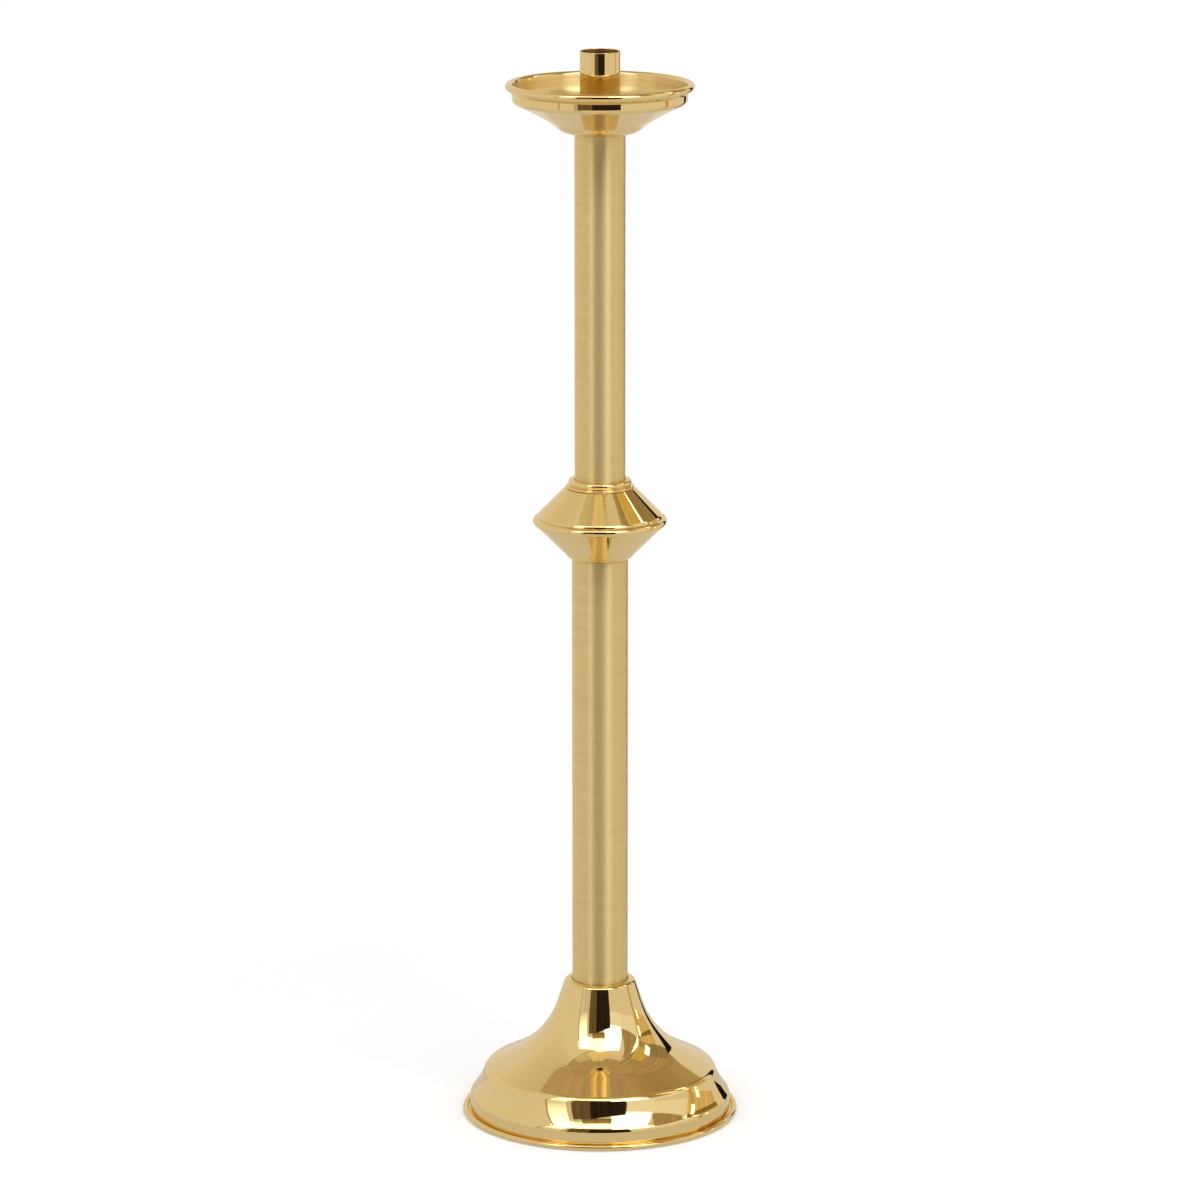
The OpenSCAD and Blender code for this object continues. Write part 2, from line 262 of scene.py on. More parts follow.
def distinct(path: Sequence[Vector]) -> Path:
    """Leaves out points that repeat the one before."""
    return [p for i, p in enumerate(path) if i == 0 or (p - path[i - 1]).length > SAME_POINT]


def offset(path: Sequence[Vector], thickness: float) -> Path:
    """Shifts a path to its left with mitred corners.

    Args:
        path: Points of the path.
        thickness: Distance in millimetres.

    Returns:
        The shifted points.
    """
    path = distinct(path)
    sides = []
    for a, b in zip(path, path[1:]):
        d = (b - a).normalized()
        sides.append(point(-d.y, d.x))
    moved = []
    for i, p in enumerate(path):
        s = sides[max(i - 1, 0)] + sides[min(i, len(sides) - 1)]
        moved.append(p + 2 * thickness * s / s.dot(s))
    return moved


def sheet(path: Sequence[Vector], thickness: float) -> Path:
    """Draws the closed section of a sheet on the left of a path."""
    return distinct(path) + offset(path, thickness)[::-1]


def soften(path: Sequence[Vector], radius: float, least_turn: float = 12.0) -> Path:
    """Rounds the sharp corners of an open path.

    Args:
        path: Points of the path.
        radius: Radius of the rounding in millimetres.
        least_turn: Turn in degrees from which a corner counts as sharp.

    Returns:
        The path with a short curve in place of each sharp corner.
    """
    path = distinct(path)
    runs = [0.0]
    for a, b in zip(path, path[1:]):
        runs.append(runs[-1] + (b - a).length)

    def at(run: float) -> Vector:
        """Gives the point at a length along the path."""
        i = max(k for k in range(len(path) - 1) if runs[k] <= max(run, 0.0))
        return path[i].lerp(path[i + 1], (run - runs[i]) / (runs[i + 1] - runs[i]))

    corners = {}
    for i in range(1, len(path) - 1):
        turn = math.degrees((path[i] - path[i - 1]).angle(path[i + 1] - path[i]))
        if turn > least_turn:
            corners[i] = radius * math.tan(math.radians(min(turn, MOST_TURN) / 2))
    marks = [0.0] + [runs[i] for i in corners] + [runs[-1]]
    cuts = {}
    for n, (i, cut) in enumerate(corners.items(), 1):
        room = min(marks[n] - marks[n - 1], marks[n + 1] - marks[n])
        cuts[i] = min(cut, CUT_SHARE * room)
    soft: Path = []
    for i, p in enumerate(path):
        if i in cuts:
            a, b = at(runs[i] - cuts[i]), at(runs[i] + cuts[i])
            for k in range(CORNER_STEPS + 1):
                t = k / CORNER_STEPS
                soft.append(a.lerp(p, t).lerp(p.lerp(b, t), t))
        elif all(abs(runs[i] - runs[j]) > c for j, c in cuts.items()):
            soft.append(p)
    return distinct(soft)


def braced(path: Sequence[Vector], least: float = 1.4, reach: float = 0.2) -> Path:
    """Adds a point near both ends of each long side, so that its shading stays flat between them.

    Args:
        path: Points of the path.
        least: Length in millimetres from which a side counts as long.
        reach: Distance of the added points from the ends.

    Returns:
        The path with the added points.
    """
    firm = [path[0]]
    for a, b in zip(path, path[1:]):
        length = (b - a).length
        if length > least:
            firm += [a.lerp(b, reach / length), b.lerp(a, reach / length)]
        firm.append(b)
    return firm


def closed(path: Sequence[Vector], radius: float) -> Path:
    """Closes a section and rounds its corners, starting at the middle of its last side."""
    start = path[-1].lerp(path[0], 0.5)
    return soften([start, *path, start.copy()], radius)


def block(inner_r: float, outer_r: float, bottom: float, top: float, radius: float) -> Path:
    """Draws the section of a ring, or of a disc where inner_r is 0, with rounded edges."""
    outline = [point(inner_r, bottom), point(outer_r, bottom), point(outer_r, top), point(inner_r, top)]
    return closed(outline, radius) if inner_r > 0 else soften(outline, radius)


@dataclass(frozen=True)
class Extent:
    """Radius, bottom and top of a node in millimetres, as the frame has it."""

    r: float
    bottom: float
    top: float

    @classmethod
    def of(cls, node: str) -> "Extent":
        """Reads the extent of a node from the frame."""
        low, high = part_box(node)
        return cls(high.x / MM, low.z / MM, high.z / MM)


def blank(name: str) -> tuple[Material, NodeTree]:
    """Makes a material with an empty tree.

    Args:
        name: Name of the material.

    Returns:
        The material and its tree.
    """
    material = bpy.data.materials.new(name)
    material.use_nodes = True
    material.node_tree.nodes.clear()
    return material, material.node_tree


@dataclass(frozen=True)
class Finish:
    """Base of the finishes: a material of two colours, whose gloss varies with them."""

    name: str
    color: str
    shade: str
    roughness: float
    metallic: float = 1.0

    def start(self) -> tuple[Material, NodeTree, Node]:
        """Makes the material with its shader.

        Returns:
            The material, its tree and its Principled node.
        """
        material, tree = blank(self.name)
        material.diffuse_color = linear(self.color)
        shader = add(tree, "ShaderNodeBsdfPrincipled",
                     {"Roughness": self.roughness, "Metallic": self.metallic})
        add(tree, "ShaderNodeOutputMaterial", {"Surface": shader})
        return material, tree, shader

    def lay(self, shader: Node, mottle: Node, spread: float,
            relief: Node, depth_mm: float) -> None:
        """Lays patterns on the shader.

        Args:
            shader: Principled node of the material.
            mottle: Pattern that mixes the two colours and varies the roughness.
            spread: Share by which the roughness goes down and up.
            relief: Pattern of the surface's height.
            depth_mm: Depth of the relief.
        """
        tree = shader.id_data
        color = add(tree, "ShaderNodeMix", {"Factor": mottle, 6: linear(self.color), 7: linear(self.shade)},
                    data_type="RGBA")
        low, high = (self.roughness * (1 + by) for by in (-spread, spread))
        gloss = add(tree, "ShaderNodeMapRange", {"Value": mottle, "To Min": low, "To Max": high})
        bump = add(tree, "ShaderNodeBump", {"Height": relief, "Distance": depth_mm * MM, "Strength": 1.0})
        tree.links.new(color.outputs[2], shader.inputs["Base Color"])
        tree.links.new(gloss.outputs[0], shader.inputs["Roughness"])
        tree.links.new(bump.outputs[0], shader.inputs["Normal"])


@dataclass(frozen=True)
class PolishedBrass(Finish):
    """Spun brass, buffed bright: a near mirror, faintly rippled round the axis by the spinning tool."""

    ripple_mm: float = 9.0
    ripple_depth_mm: float = 0.012
    cloud_mm: float = 60.0
    spread: float = 0.5

    def make(self) -> Material:
        """Builds the material.

        Returns:
            The material.
        """
        material, tree, shader = self.start()
        coords = add(tree, "ShaderNodeTexCoord")
        cloud = add(tree, "ShaderNodeTexNoise", {
            "Vector": coords.outputs["Object"], "Scale": 1 / (self.cloud_mm * MM), "Detail": 4.0,
        })
        run = add(tree, "ShaderNodeAttribute", attribute_name=RUN)
        ring = add(tree, "ShaderNodeTexNoise", {
            "W": run.outputs["Fac"], "Scale": 1 / (self.ripple_mm * MM), "Detail": 2.0,
        }, noise_dimensions="1D")
        self.lay(shader, cloud, self.spread, ring, self.ripple_depth_mm)
        return material


@dataclass(frozen=True)
class BrushedBrass(Finish):
    """Brass brushed round the axis: light smears along the axis and fine streaks run round it.

    The streaks are drawn a few times coarser than real grit marks, so that they show.
    """

    streak_mm: float = 1.2
    streak_length_mm: float = 70.0
    depth_mm: float = 0.0012
    spread: float = 0.25
    anisotropy: float = 0.8
    smear_turn: float = 0.25

    def make(self) -> Material:
        """Builds the material.

        Returns:
            The material.
        """
        material, tree, shader = self.start()
        coords = add(tree, "ShaderNodeTexCoord")
        run = add(tree, "ShaderNodeAttribute", attribute_name=RUN)
        parts = add(tree, "ShaderNodeSeparateXYZ", {0: coords.outputs["Object"]})
        axes = (
            (parts.outputs["X"], self.streak_length_mm),
            (parts.outputs["Y"], self.streak_length_mm),
            (run.outputs["Fac"], self.streak_mm),
        )
        grain = add(tree, "ShaderNodeCombineXYZ", {
            i: add(tree, "ShaderNodeMath", {0: place, 1: 1 / (size * MM)}, operation="MULTIPLY")
            for i, (place, size) in enumerate(axes)
        })
        streak = add(tree, "ShaderNodeTexNoise", {"Vector": grain, "Scale": 1.0, "Detail": 3.0})
        self.lay(shader, streak, self.spread, streak, self.depth_mm)
        tangent = add(tree, "ShaderNodeTangent", direction_type="RADIAL", axis="Z")
        tree.links.new(tangent.outputs[0], shader.inputs["Tangent"])
        shader.inputs["Anisotropic"].default_value = self.anisotropy
        shader.inputs["Anisotropic Rotation"].default_value = self.smear_turn
        return material


@dataclass(frozen=True)
class Grained(Finish):
    """A grained surface: mottled colour, mottled gloss and a fine relief, at one real grain size."""

    grain_mm: float = 1.0
    depth_mm: float = 0.02
    sheen: float = 0.0
    spread: float = 0.3

    def make(self) -> Material:
        """Builds the material.

        Returns:
            The material.
        """
        material, tree, shader = self.start()
        coords = add(tree, "ShaderNodeTexCoord")
        grain = add(tree, "ShaderNodeTexNoise", {
            "Vector": coords.outputs["Object"], "Scale": 1 / (self.grain_mm * MM), "Detail": 5.0,
        })
        self.lay(shader, grain, self.spread, grain, self.depth_mm)
        shader.inputs["Sheen Weight"].default_value = self.sheen
        return material


class Finishes:
    """The materials of the object, each made once."""

    def __init__(self) -> None:
        """Builds every material."""
        # Buffed on the lathe: a warm mirror.
        self.polished = PolishedBrass("spun_polished_brass", "#F1D89C", "#EDD294", 0.045).make()
        # Brushed round the tube: a bright band along it that fades softly to the sides.
        self.satin = BrushedBrass("brushed_brass_tube", "#FAE3A8", "#F1D899", 0.46, anisotropy=0.95).make()
        # Left from the turning tool: coarser rings, brighter where the light fans out.
        self.turned = BrushedBrass("turned_brass", "#FAE8B4", "#DDBE78", 0.36,
                                   streak_mm=1.6, anisotropy=0.93).make()
        # Drawn and never polished: darker, half matt and stained in patches.
        self.raw = Grained("raw_brass", "#CFA05C", "#B58544", 0.42, grain_mm=6.0, depth_mm=0.01).make()
        # Plated: pale grey, half bright.
        self.steel = Grained("zinc_plated_steel", "#B9B7AE", "#9C9A92", 0.3,
                             grain_mm=2.0, depth_mm=0.004).make()
        # Black paint over the sand's grain.
        self.iron = Grained("painted_cast_iron", "#2B2A29", "#1E1D1C", 0.55,
                            metallic=0.0, grain_mm=1.2, depth_mm=0.08).make()
        # Pressed fibres: no gloss, and a faint fuzz at grazing angles.
        self.felt = Grained("pressed_wool_felt", "#1F4630", "#17382A", 0.95,
                            metallic=0.0, grain_mm=0.7, depth_mm=0.25, sheen=0.4).make()
        # Rolled hide: half matt and pebbled.
        self.leather = Grained("hard_leather", "#6B4325", "#4F2F19", 0.5,
                               metallic=0.0, grain_mm=1.6, depth_mm=0.12).make()


def show(name: str, data: ID) -> Object:
    """Puts an object into the scene.

    Args:
        name: Name of the object.
        data: Its mesh, light or camera.

    Returns:
        The object.
    """
    thing = bpy.data.objects.new(name, data)
    bpy.context.scene.collection.objects.link(thing)
    return thing


def piece_from(name: str, vertices: Sequence[Vector], edges: Sequence[tuple[int, int]],
               faces: Sequence[Sequence[int]]) -> Object:
    """Makes a mesh and puts it into the scene.

    Args:
        name: Name of the object.
        vertices: Points in metres.
        edges: Pairs of vertex numbers.
        faces: Loops of vertex numbers.

    Returns:
        The new object.
    """
    mesh = bpy.data.meshes.new(name)
    mesh.from_pydata([tuple(v) for v in vertices], edges, faces)
    return show(name, mesh)


def plain_mesh(piece: Object) -> None:
    """Turns what a piece's modifiers make into its own mesh, with its faces outwards.

    Args:
        piece: The piece.
    """
    depsgraph = bpy.context.evaluated_depsgraph_get()
    made = piece.evaluated_get(depsgraph)
    mesh = bpy.data.meshes.new_from_object(made, preserve_all_data_layers=True, depsgraph=depsgraph)
    piece.modifiers.clear()
    piece.data = mesh
    shape = bmesh.new()
    shape.from_mesh(mesh)
    bmesh.ops.recalc_face_normals(shape, faces=shape.faces)
    shape.to_mesh(mesh)
    shape.free()
    mesh.shade_smooth()
    mesh.set_sharp_from_angle(angle=math.radians(SHARP_DEG))


def settle(piece: Object, body: Body, slot: Slot, *nodes: str) -> Object:
    """Puts a finished piece on its body in place of its nodes.

    Args:
        piece: The finished piece.
        body: Body that it rides on.
        slot: Material slot of the record; not used.
        nodes: Nodes of the frame that it stands for.

    Returns:
        The piece.
    """
    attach(piece, body.value)
    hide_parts(*nodes)
    LOG.info("%s: %d faces, for %s", piece.name, len(piece.data.polygons), ", ".join(nodes))
    return piece


class Tool:
    """A Geometry Nodes tree with named inputs, run once on a piece."""

    name = "tool"
    inputs: dict[str, str] = {}

    def __init__(self) -> None:
        """Starts the tree, its inputs and its output, and lets the tool fill it."""
        self.tree = bpy.data.node_groups.new(self.name, "GeometryNodeTree")
        face = self.tree.interface
        face.new_socket("Shape", in_out="INPUT", socket_type="NodeSocketGeometry")
        self.keys = {
            label: face.new_socket(label, in_out="INPUT", socket_type=kind).identifier
            for label, kind in self.inputs.items()
        }
        face.new_socket("Shape", in_out="OUTPUT", socket_type="NodeSocketGeometry")
        source = add(self.tree, "NodeGroupInput")
        add(self.tree, "NodeGroupOutput", {0: self.fill(source.outputs)})

    def fill(self, given: NodeOutputs) -> Node:
        """Builds the tree from its inputs to the node that gives the finished mesh."""
        raise NotImplementedError

    def at_both_ends(self, shape: Node | NodeSocket, rise: NodeSocket,
                     bottom: NodeSocket | float = 0.0) -> Node:
        """Puts a shape at the foot of the rod and again at its top.

        Args:
            shape: What is repeated.
            rise: Height from the first to the second.
            bottom: Height of the first.

        Returns:
            The node that gives both.
        """
        start = add(self.tree, "ShaderNodeCombineXYZ", {2: bottom})
        step = add(self.tree, "ShaderNodeCombineXYZ", {2: rise})
        ends = add(self.tree, "GeometryNodeMeshLine", {"Count": 2, "Start Location": start, "Offset": step})
        return add(self.tree, "GeometryNodeInstanceOnPoints", {"Points": ends, "Instance": shape})

    def dressed(self, shape: Node, finish: NodeSocket) -> Node:
        """Makes the instances of a shape real and gives it its finish."""
        real = add(self.tree, "GeometryNodeRealizeInstances", {"Geometry": shape})
        return add(self.tree, "GeometryNodeSetMaterial", {"Geometry": real, "Material": finish})

    def run(self, piece: Object, values: dict[str, object]) -> Object:
        """Runs the tree on a piece and keeps the result as a plain mesh.

        Args:
            piece: Object whose mesh goes into the tree.
            values: Values of the inputs by name.

        Returns:
            The piece.
        """
        modifier = piece.modifiers.new(self.name, "NODES")
        modifier.node_group = self.tree
        for label, value in values.items():
            modifier[self.keys[label]] = value
        plain_mesh(piece)
        return piece


class Lathe(Tool):
    """Spins a half-section about the axis: a grid whose rows are the section's points."""

    name = "lathe"
    inputs = {
        "Segments": "NodeSocketInt",
        "Finish": "NodeSocketMaterial",
        "Inner finish": "NodeSocketMaterial",
        "Inner from": "NodeSocketFloat",
    }

    def fill(self, given: NodeOutputs) -> Node:
        """Builds the tree.

        Args:
            given: Outputs of the group input.

        Returns:
            The node that gives the spun and dressed mesh.
        """
        tree = self.tree
        size = add(tree, "GeometryNodeAttributeDomainSize", {0: given["Shape"]})
        columns = add(tree, "ShaderNodeMath", {0: given["Segments"], 1: 1.0}, operation="ADD")
        grid = add(tree, "GeometryNodeMeshGrid",
                   {"Vertices X": size.outputs["Point Count"], "Vertices Y": columns})
        index = add(tree, "GeometryNodeInputIndex")
        share = add(tree, "ShaderNodeMath", {0: index, 1: columns}, operation="DIVIDE")
        row = add(tree, "ShaderNodeMath", {0: share}, operation="FLOOR")
        column = add(tree, "ShaderNodeMath", {0: index, 1: columns}, operation="MODULO")
        place = add(tree, "GeometryNodeInputPosition")
        length = add(tree, "GeometryNodeInputNamedAttribute", {"Name": RUN}, data_type="FLOAT")
        section, run = (
            add(tree, "GeometryNodeSampleIndex",
                {"Geometry": given["Shape"], "Value": value, "Index": row}, data_type=kind)
            for value, kind in ((place, "FLOAT_VECTOR"), (length.outputs["Attribute"], "FLOAT"))
        )
        parts = add(tree, "ShaderNodeSeparateXYZ", {0: section})
        step = add(tree, "ShaderNodeMath", {0: math.tau, 1: given["Segments"]}, operation="DIVIDE")
        angle = add(tree, "ShaderNodeMath", {0: column, 1: step}, operation="MULTIPLY")
        spot = add(tree, "ShaderNodeCombineXYZ", {2: parts.outputs["Z"]})
        for wave, axis in (("COSINE", "X"), ("SINE", "Y")):
            turn = add(tree, "ShaderNodeMath", {0: angle}, operation=wave)
            side = add(tree, "ShaderNodeMath", {0: turn, 1: parts.outputs["X"]}, operation="MULTIPLY")
            tree.links.new(side.outputs[0], spot.inputs[axis])
        spun = add(tree, "GeometryNodeSetPosition", {"Geometry": grid.outputs["Mesh"], "Position": spot})
        marked = add(tree, "GeometryNodeStoreNamedAttribute",
                     {"Geometry": spun, "Name": RUN, "Value": run}, data_type="FLOAT", domain="POINT")
        merged = add(tree, "GeometryNodeMergeByDistance", {"Geometry": marked, "Distance": WELD})
        outside = self.dressed(merged, given["Finish"])
        lining = add(tree, "FunctionNodeCompare", {0: length.outputs["Attribute"], 1: given["Inner from"]},
                     data_type="FLOAT", operation="GREATER_THAN")
        return add(tree, "GeometryNodeSetMaterial",
                   {"Geometry": outside, "Selection": lining, "Material": given["Inner finish"]})


class Thread(Tool):
    """Winds a screw thread's ridge on both ends of a rod."""

    name = "thread"
    inputs = {
        **dict.fromkeys(("Radius", "Ridge", "Pitch", "Turns", "Bottom", "Rise"), "NodeSocketFloat"),
        "Finish": "NodeSocketMaterial",
    }
    steps_per_turn = 40
    ridge_sides = 3

    def fill(self, given: NodeOutputs) -> Node:
        """Builds the tree.

        Args:
            given: Outputs of the group input.

        Returns:
            The node that gives the rod with its threads.
        """
        tree = self.tree
        height = add(tree, "ShaderNodeMath", {0: given["Pitch"], 1: given["Turns"]}, operation="MULTIPLY")
        spiral = add(tree, "GeometryNodeCurveSpiral", {
            "Resolution": self.steps_per_turn, "Rotations": given["Turns"], "Start Radius": given["Radius"],
            "End Radius": given["Radius"], "Height": height,
        })
        ridge = add(tree, "GeometryNodeCurvePrimitiveCircle",
                    {"Resolution": self.ridge_sides, "Radius": given["Ridge"]})
        wound = add(tree, "GeometryNodeCurveToMesh",
                    {"Curve": spiral, "Profile Curve": ridge, "Fill Caps": True})
        threads = self.at_both_ends(wound, given["Rise"], given["Bottom"])
        whole = add(tree, "GeometryNodeJoinGeometry", {0: threads})
        tree.links.new(given["Shape"], whole.inputs[0])
        return self.dressed(whole, given["Finish"])


class Pair(Tool):
    """Repeats a fastener at the other end of the rod."""

    name = "pair"
    inputs = {"Rise": "NodeSocketFloat", "Finish": "NodeSocketMaterial"}

    def fill(self, given: NodeOutputs) -> Node:
        """Builds the tree, which gives both fasteners."""
        return self.dressed(self.at_both_ends(given["Shape"], given["Rise"]), given["Finish"])


class Shop:
    """Tools and finishes that the sub-assemblies are made with."""

    def __init__(self) -> None:
        """Builds the finishes and the tools."""
        self.finishes = Finishes()
        self.lathe = Lathe()
        self.thread = Thread()
        self.pair = Pair()

    def turn(self, name: str, section: Path, finish: Material,
             inner: Material | None = None, inner_at: Vector | None = None) -> Object:
        """Spins a section.

        Args:
            name: Name of the piece.
            section: Half-section in millimetres.
            finish: Material of the piece.
            inner: Material from inner_at to the end of the section.
            inner_at: Point of the section where that begins.

        Returns:
            The turned piece.
        """
        section = braced(section)
        runs = [0.0]
        for a, b in zip(section, section[1:]):
            runs.append(runs[-1] + (b - a).length * MM)
        sides = [(i, i + 1) for i in range(len(section) - 1)]
        wire = piece_from(name, [Vector((p.x, 0, p.y)) * MM for p in section], sides, [])
        wire.data.attributes.new(RUN, "FLOAT", "POINT").data.foreach_set("value", runs)
        start = runs[-1]
        if inner_at is not None:
            start = runs[min(range(len(section)), key=lambda i: (section[i] - inner_at).length)]
        return self.lathe.run(wire, {
            "Segments": SEGMENTS, "Finish": finish, "Inner finish": inner or finish, "Inner from": start,
        })


def dress(node: str, finish: Material) -> None:
    """Gives a piece that is shown as built its finish.

    Args:
        node: Node of the frame.
        finish: Material of the piece.
    """
    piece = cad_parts[node]
    piece.data.materials.clear()
    piece.data.materials.append(finish)
    LOG.info("%s: as built, in %s", node, finish.name)


@dataclass
class Stand:
    """Floor stand: a spun shell over a cast weight, with the sleeve that holds the staff.

    A lean is an angle from upright. The channel is the groove between the bead and the band, and
    the valley is the hollow between the ovolo and the dome.
    """

    bead_d: float = 5.4
    channel: float = 1.8
    channel_drop: float = 1.5
    sheet: float = 1.5
    band_h: float = 12.0
    ovolo_r: float = 9.0
    valley_in: float = 14.6
    valley_z: float = 44.0
    dome_lean: float = 20.0
    shoulder_r: float = 10.0
    flare_lean: float = 63.0
    neck_lean: float = 18.0
    neck_straight: float = 22.0
    lip_r: float = 36.2
    lip_rise: float = 2.8
    lip_flat: float = 2.45
    lip_gap: float = 0.8
    edge: float = 0.5
    pad_edge: float = 0.8
    disc_edge: float = 0.6
    sleeve_gap: float = 0.3
    sleeve_wall: float = 2.0
    sleeve_collar_t: float = 3.0

    def shell(self) -> Path:
        """Draws the shell: rolled bead, channel, band, ovolo and hollow, dome, neck and lip.

        Returns:
            The section.
        """
        foot = Extent.of("base_shell")
        staff = Extent.of("lower_tube")
        bead_r = self.bead_d / 2
        bead = point(foot.r - bead_r, foot.bottom + bead_r)
        flange_z = bead.y + self.sheet / 2
        channel_z = flange_z - self.channel_drop
        band_r = foot.r - self.bead_d - self.channel
        band_top = point(band_r, flange_z + self.band_h)
        valley = point(band_r - self.valley_in, self.valley_z)
        lip = point(self.lip_r, foot.top - self.lip_rise)
        flat = point(staff.r + self.lip_flat, foot.top)
        lip_turn = 180 - 2 * math.degrees(math.atan(self.lip_rise / (lip.x - flat.x)))
        dome, neck = 90 + self.dome_lean, 90 + self.neck_lean
        neck_end = lip - self.neck_straight * unit(neck)
        skin = [
            point(bead.x, channel_z), point(band_r, channel_z),
            *s_curve(band_top, 90, self.ovolo_r, valley, dome),
            *flared(valley, dome, self.shoulder_r, 90 + self.flare_lean, neck_end, neck),
            *arc_between(lip, lip_turn, flat), point(staff.r + self.lip_gap, foot.top),
        ]
        # The bead is rolled from the channel's under side round to its upper side.
        start, stop = (
            math.degrees(math.asin((bead.y - z) / bead_r)) for z in (channel_z - self.sheet, channel_z)
        )
        roll = arc(bead, bead_r, 180 + start, 540 + stop)
        return closed(roll + skin[1:] + offset(skin, self.sheet)[:0:-1], self.edge)

    def sleeve(self) -> Path:
        """Draws the sleeve with the collar that bears on the weight's hub.

        Returns:
            The section.
        """
        tube = Extent.of("staff_sleeve")
        inner_r = Extent.of("lower_tube").r + self.sleeve_gap
        outer_r = inner_r + self.sleeve_wall
        hub = Extent.of("base_weight").top
        collar_top = hub + self.sleeve_collar_t
        return closed([
            point(inner_r, tube.bottom), point(outer_r, tube.bottom), point(outer_r, hub),
            point(tube.r, hub), point(tube.r, collar_top), point(outer_r, collar_top),
            point(outer_r, tube.top), point(inner_r, tube.top),
        ], self.edge)

    def build(self, shop: Shop) -> None:
        """Makes and dresses the stand's pieces and the loose seat disc.

        Args:
            shop: Tools and finishes.
        """
        finishes = shop.finishes
        shell = shop.turn("stand_shell", self.shell(), finishes.polished)
        settle(shell, Body.STAND, Slot.POLISHED, "base_shell")
        sleeve = shop.turn("stand_sleeve", self.sleeve(), finishes.raw)
        settle(sleeve, Body.STAND, Slot.SATIN, "staff_sleeve")
        pad = Extent.of("felt_pad")
        section = block(0, pad.r, pad.bottom, pad.top, self.pad_edge)
        felt = shop.turn("stand_felt", section, finishes.felt)
        settle(felt, Body.STAND, Slot.FELT, "felt_pad")
        disc = Extent.of("seat_disc")
        section = block(0, disc.r, disc.bottom, disc.top, self.disc_edge)
        seat = shop.turn("leather_seat", section, finishes.leather)
        settle(seat, Body.SEAT, Slot.LEATHER, "seat_disc")
        dress("base_weight", finishes.iron)
        dress("sleeve_plug", finishes.raw)
        dress("sleeve_nut", finishes.steel)


@dataclass
class Staff:
    """The two tubes of the staff, with the plugs in their ends."""

    wall: float = 1.6
    edge: float = 0.3
    recess_r: float = 14.0
    hole_r: float = 5.15
    recess: float = 18.0

    def plug(self) -> Path:
        """Draws the plug in the foot, with its recess for the nut.

        Returns:
            The section.
        """
        plug = Extent.of("foot_plug")
        shelf = plug.bottom + self.recess
        return closed([
            point(self.recess_r, plug.bottom), point(plug.r, plug.bottom), point(plug.r, plug.top),
            point(self.hole_r, plug.top), point(self.hole_r, shelf), point(self.recess_r, shelf),
        ], self.edge)

    def build(self, shop: Shop) -> None:
        """Makes and dresses the staff's pieces.

        Args:
            shop: Tools and finishes.
        """
        finishes = shop.finishes
        for node, name in (("lower_tube", "staff_lower"), ("upper_tube", "staff_upper")):
            tube = Extent.of(node)
            section = block(tube.r - self.wall, tube.r, tube.bottom, tube.top, self.edge)
            settle(shop.turn(name, section, finishes.satin), Body.TORCH, Slot.SATIN, node)
        plug = shop.turn("staff_foot", self.plug(), finishes.turned)
        settle(plug, Body.TORCH, Slot.TURNED, "foot_plug")
        dress("tube_cap", finishes.raw)


